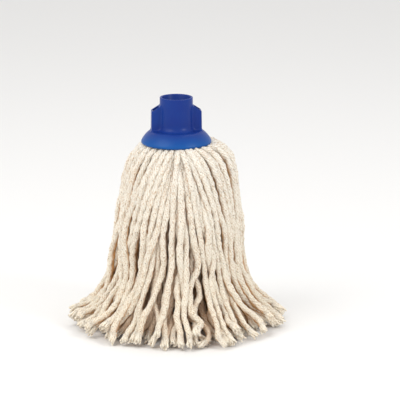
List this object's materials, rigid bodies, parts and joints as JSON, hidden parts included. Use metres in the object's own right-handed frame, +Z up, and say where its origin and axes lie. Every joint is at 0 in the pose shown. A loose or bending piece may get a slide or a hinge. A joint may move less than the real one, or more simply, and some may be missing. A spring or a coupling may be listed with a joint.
{
  "type": "string mop head",
  "caption": "String mop head: push-fit plastic handle socket with side wings and a bell skirt over a full round head of cut cotton yarn.",
  "frame": {"origin": "on the floor that the yarn stands on, under the axis of the handle socket", "axes": "+Z up along the socket's axis and out of its mouth, +X towards one side wing, -Y towards the front"},
  "size_m": [0.2032, 0.2032, 0.216],
  "materials": {
    "socket_plastic": "satin",
    "retainer_plastic": "matte",
    "packed_yarn": "matte",
    "core_yarn": "matte",
    "outer_yarn": "matte"
  },
  "bodies": {
    "root": {"socket": "socket_plastic", "retainer": "retainer_plastic", "yarn_wad": "packed_yarn", "core_bundle_1": "core_yarn", "core_bundle_2": "core_yarn", "core_bundle_3": "core_yarn", "core_bundle_4": "core_yarn", "core_bundle_5": "core_yarn", "core_bundle_6": "core_yarn"},
    "yarn_lock_01": {"yarn_lock_01": "outer_yarn"},
    "yarn_lock_02": {"yarn_lock_02": "outer_yarn"},
    "yarn_lock_03": {"yarn_lock_03": "outer_yarn"},
    "yarn_lock_04": {"yarn_lock_04": "outer_yarn"},
    "yarn_lock_05": {"yarn_lock_05": "outer_yarn"},
    "yarn_lock_06": {"yarn_lock_06": "outer_yarn"},
    "yarn_lock_07": {"yarn_lock_07": "outer_yarn"},
    "yarn_lock_08": {"yarn_lock_08": "outer_yarn"},
    "yarn_lock_09": {"yarn_lock_09": "outer_yarn"},
    "yarn_lock_10": {"yarn_lock_10": "outer_yarn"},
    "yarn_lock_11": {"yarn_lock_11": "outer_yarn"},
    "yarn_lock_12": {"yarn_lock_12": "outer_yarn"}
  },
  "joints": [
    {"name": "lock_01_swing", "type": "hinge", "parent": "root", "child": "yarn_lock_01", "pos_m": [0.0295, 0, 0.1694], "axis": [0, -1, 0], "range_deg": [0, 40]},
    {"name": "lock_02_swing", "type": "hinge", "parent": "root", "child": "yarn_lock_02", "pos_m": [0.02555, 0.01475, 0.1694], "axis": [0.5, -0.866, 0], "range_deg": [0, 40]},
    {"name": "lock_03_swing", "type": "hinge", "parent": "root", "child": "yarn_lock_03", "pos_m": [0.01475, 0.02555, 0.1694], "axis": [0.866, -0.5, 0], "range_deg": [0, 40]},
    {"name": "lock_04_swing", "type": "hinge", "parent": "root", "child": "yarn_lock_04", "pos_m": [0, 0.0295, 0.1694], "axis": [1, 0, 0], "range_deg": [0, 40]},
    {"name": "lock_05_swing", "type": "hinge", "parent": "root", "child": "yarn_lock_05", "pos_m": [-0.01475, 0.02555, 0.1694], "axis": [0.866, 0.5, 0], "range_deg": [0, 40]},
    {"name": "lock_06_swing", "type": "hinge", "parent": "root", "child": "yarn_lock_06", "pos_m": [-0.02555, 0.01475, 0.1694], "axis": [0.5, 0.866, 0], "range_deg": [0, 40]},
    {"name": "lock_07_swing", "type": "hinge", "parent": "root", "child": "yarn_lock_07", "pos_m": [-0.0295, 0, 0.1694], "axis": [0, 1, 0], "range_deg": [0, 40]},
    {"name": "lock_08_swing", "type": "hinge", "parent": "root", "child": "yarn_lock_08", "pos_m": [-0.02555, -0.01475, 0.1694], "axis": [-0.5, 0.866, 0], "range_deg": [0, 40]},
    {"name": "lock_09_swing", "type": "hinge", "parent": "root", "child": "yarn_lock_09", "pos_m": [-0.01475, -0.02555, 0.1694], "axis": [-0.866, 0.5, 0], "range_deg": [0, 40]},
    {"name": "lock_10_swing", "type": "hinge", "parent": "root", "child": "yarn_lock_10", "pos_m": [0, -0.0295, 0.1694], "axis": [-1, 0, 0], "range_deg": [0, 40]},
    {"name": "lock_11_swing", "type": "hinge", "parent": "root", "child": "yarn_lock_11", "pos_m": [0.01475, -0.02555, 0.1694], "axis": [-0.866, -0.5, 0], "range_deg": [0, 40]},
    {"name": "lock_12_swing", "type": "hinge", "parent": "root", "child": "yarn_lock_12", "pos_m": [0.02555, -0.01475, 0.1694], "axis": [-0.5, -0.866, 0], "range_deg": [0, 40]}
  ]
}
